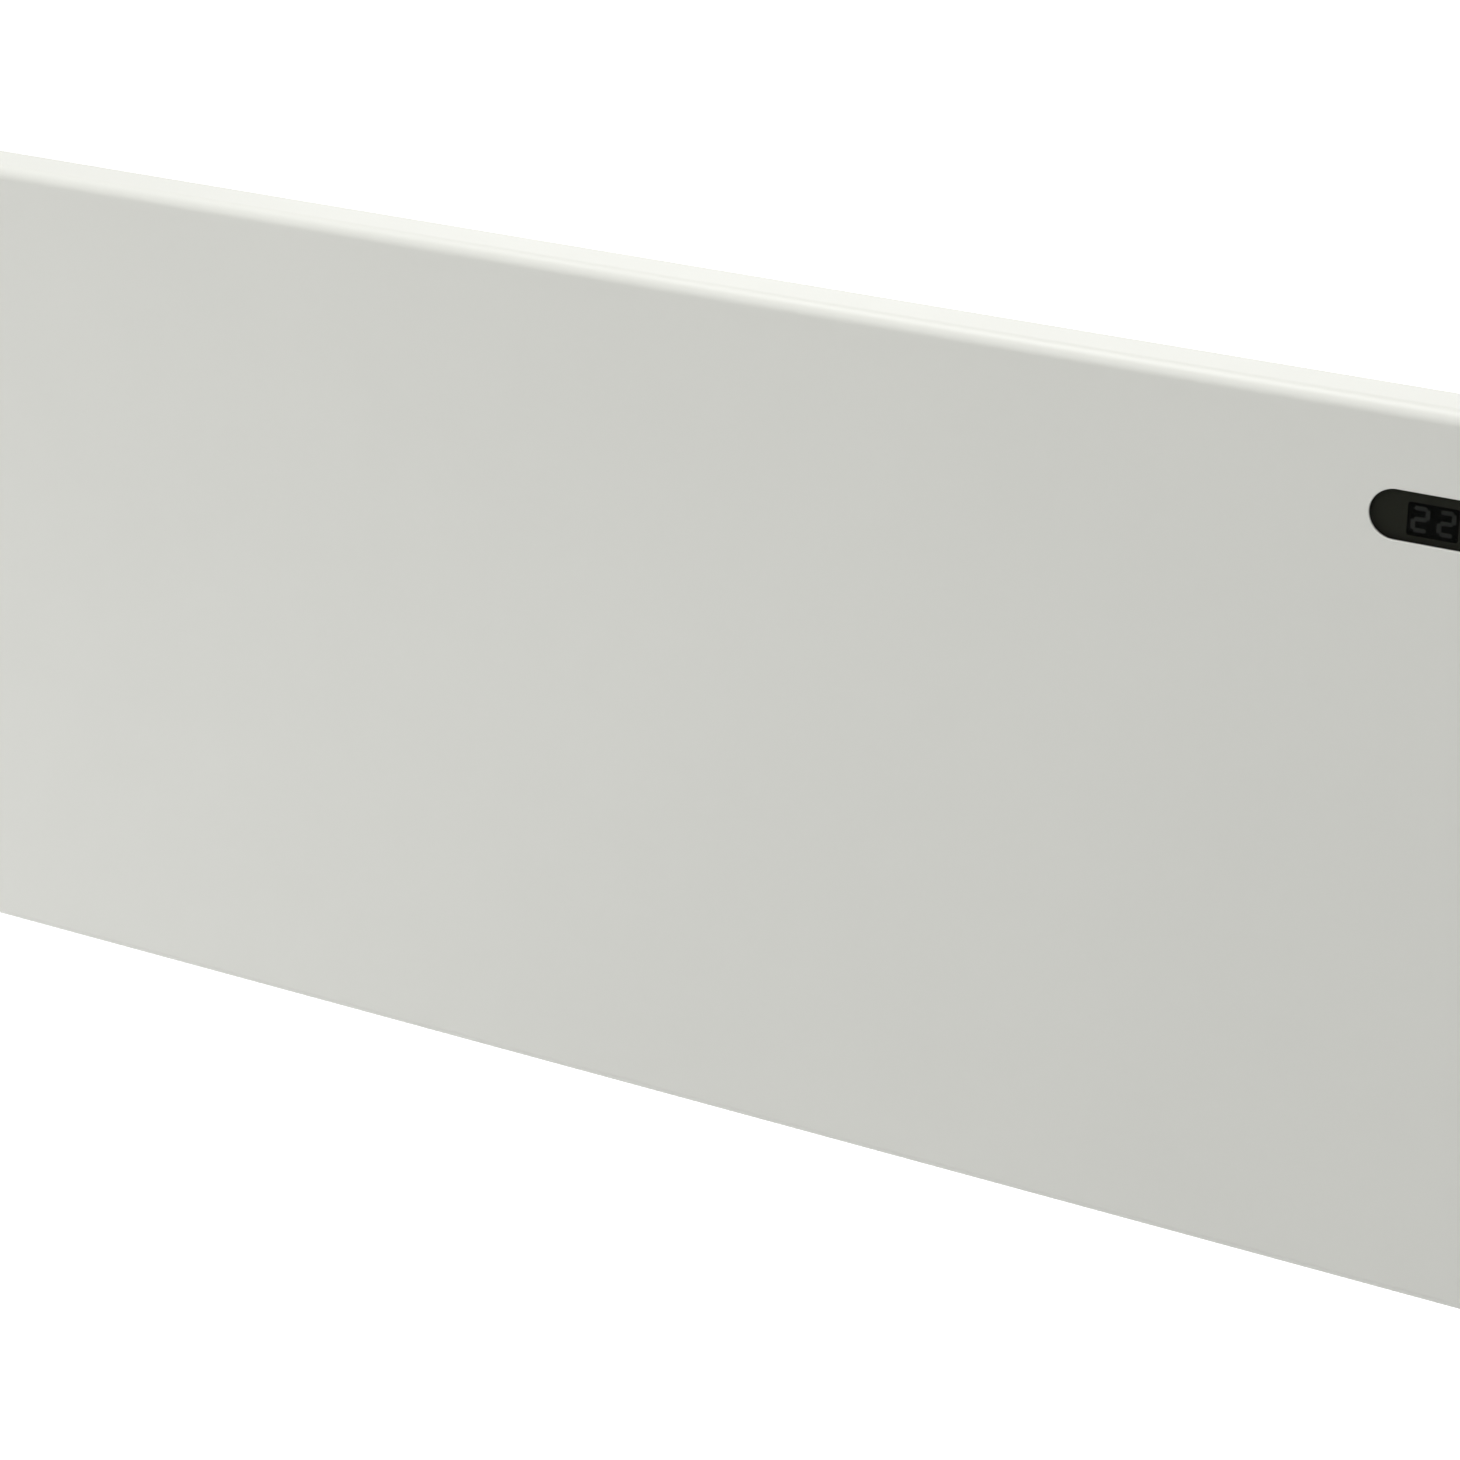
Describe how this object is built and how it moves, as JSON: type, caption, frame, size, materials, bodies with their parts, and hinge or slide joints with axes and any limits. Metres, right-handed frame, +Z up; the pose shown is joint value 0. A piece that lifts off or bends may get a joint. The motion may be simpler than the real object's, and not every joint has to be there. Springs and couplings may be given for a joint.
{
  "type": "wall panel convector heater",
  "caption": "Wall-hung panel convector heater with a folded steel front, a dark pill-shaped digital display and a tilting wall bracket.",
  "frame": {"origin": "on the wall plane, at the centre of the wall bracket's four screw holes", "axes": "+X along the heater to the right as seen from the room, +Y into the wall, +Z up; the front faces -Y"},
  "size_m": [0.96, 0.084, 0.37],
  "materials": {
    "panel_white": "off-white fine-textured powder coat, satin",
    "end_cap_white": "off-white moulded plastic, satin",
    "galvanised_steel": "zinc-plated folded steel",
    "spring_steel": "hardened spring steel, dull",
    "zinc_fastener": "bright zinc",
    "brass_terminal": "plain brass",
    "reflector_aluminium": "thin mill-finish sheet",
    "element_aluminium": "extruded, mill finish",
    "sheath_steel": "heat-toned stainless tube",
    "ceramic_white": "unglazed ceramic",
    "phenolic_black": "moulded phenolic",
    "rubber_black": "soft rubber",
    "board_green": "glass-fibre board with solder mask",
    "standoff_nylon": "natural nylon",
    "relay_black": "moulded case",
    "winding_tape": "taped winding on a laminated core",
    "capacitor_sleeve": "shrunk sleeve",
    "connector_white": "moulded nylon",
    "terminal_grey": "moulded polyamide",
    "lead_red": "silicone-insulated lead",
    "lead_brown": "insulated lead",
    "lead_black": "thin insulated lead",
    "sensor_epoxy": "epoxy-dipped bead in a sleeve",
    "smoked_window": "polished, deeply smoked acrylic",
    "button_black": "polished black",
    "housing_black": "moulded, fine spark texture",
    "digit_module": "black reflector block",
    "digit_light": "lit diffuser, dim white",
    "rocker_black": "moulded, satin"
  },
  "bodies": {
    "bracket": {"bracket_arm_left": "galvanised_steel", "bracket_arm_right": "galvanised_steel", "bracket_crossbar_upper": "galvanised_steel", "bracket_crossbar_lower": "galvanised_steel", "bracket_rivets": "zinc_fastener", "hinge_pins": "zinc_fastener", "latch_pivot_studs": "zinc_fastener", "latch_return_springs": "spring_steel"},
    "heater": {"board_connectors": "connector_white", "board_screws": "zinc_fastener", "board_standoffs": "standoff_nylon", "capacitors": "capacitor_sleeve", "casing_rivets": "zinc_fastener", "cord_gland": "housing_black", "digit_display": "digit_module", "digit_segments": "digit_light", "display_board": "board_green", "display_board_screws": "zinc_fastener", "display_housing": "housing_black", "display_nuts": "zinc_fastener", "display_ribbon": "connector_white", "display_window": "smoked_window", "earth_screw": "brass_terminal", "element_bracket_left": "galvanised_steel", "element_bracket_right": "galvanised_steel", "element_bushings": "ceramic_white", "element_fins": "element_aluminium", "element_leads": "lead_red", "element_rod": "sheath_steel", "end_cap_left": "end_cap_white", "end_cap_right": "end_cap_white", "end_cap_screws": "zinc_fastener", "front_panel": "panel_white", "gland_nut": "housing_black", "hanger_hooks": "galvanised_steel", "heat_shield": "reflector_aluminium", "heatsink": "element_aluminium", "inner_screws": "zinc_fastener", "lip_screws": "zinc_fastener", "partition": "galvanised_steel", "partition_grommet": "rubber_black", "power_board": "board_green", "rear_casing": "panel_white", "relay": "relay_black", "rocker_housing": "housing_black", "rocker_terminals": "brass_terminal", "room_sensor": "sensor_epoxy", "sensor_clip": "standoff_nylon", "sensor_lead": "lead_black", "switch_leads": "lead_brown", "tact_switches": "relay_black", "terminal_block": "terminal_grey", "thermal_cutout": "phenolic_black", "transformer": "winding_tape"},
    "left_latch": {"latch_left": "spring_steel"},
    "right_latch": {"latch_right": "spring_steel"},
    "rocker": {"power_rocker": "rocker_black"},
    "minus_key": {"button_minus": "button_black"},
    "plus_key": {"button_plus": "button_black"},
    "mode_key": {"button_mode": "button_black"}
  },
  "joints": [
    {"name": "heater_tilt", "type": "hinge", "parent": "bracket", "child": "heater", "pos_m": [0, -0.011, -0.12], "axis": [1, 0, 0], "range_deg": [0, 20], "deforming": ["latch_left", "latch_right"]},
    {"name": "latch_left_press", "type": "hinge", "parent": "bracket", "child": "left_latch", "pos_m": [-0.2, -0.0101, 0.119], "axis": [0, 1, 0], "range_deg": [0, 6], "stiffness_Nm_per_rad": 0.8, "springref_deg": -2.29, "deforming": ["latch_return_springs"]},
    {"name": "latch_right_press", "type": "hinge", "parent": "bracket", "child": "right_latch", "pos_m": [0.2, -0.0101, 0.119], "axis": [0, -1, 0], "range_deg": [0, 6], "stiffness_Nm_per_rad": 0.8, "springref_deg": -2.29, "deforming": ["latch_return_springs"]},
    {"name": "power_rocker_tilt", "type": "hinge", "parent": "heater", "child": "rocker", "pos_m": [0.476, -0.044, -0.12], "axis": [0, -1, 0], "range_deg": [0, 14]},
    {"name": "button_minus_press", "type": "slide", "parent": "heater", "child": "minus_key", "axis": [0, 1, 0], "range_m": [0, 0.0006], "stiffness_N_per_m": 2600},
    {"name": "button_plus_press", "type": "slide", "parent": "heater", "child": "plus_key", "axis": [0, 1, 0], "range_m": [0, 0.0006], "stiffness_N_per_m": 2600},
    {"name": "button_mode_press", "type": "slide", "parent": "heater", "child": "mode_key", "axis": [0, 1, 0], "range_m": [0, 0.0006], "stiffness_N_per_m": 2600}
  ]
}
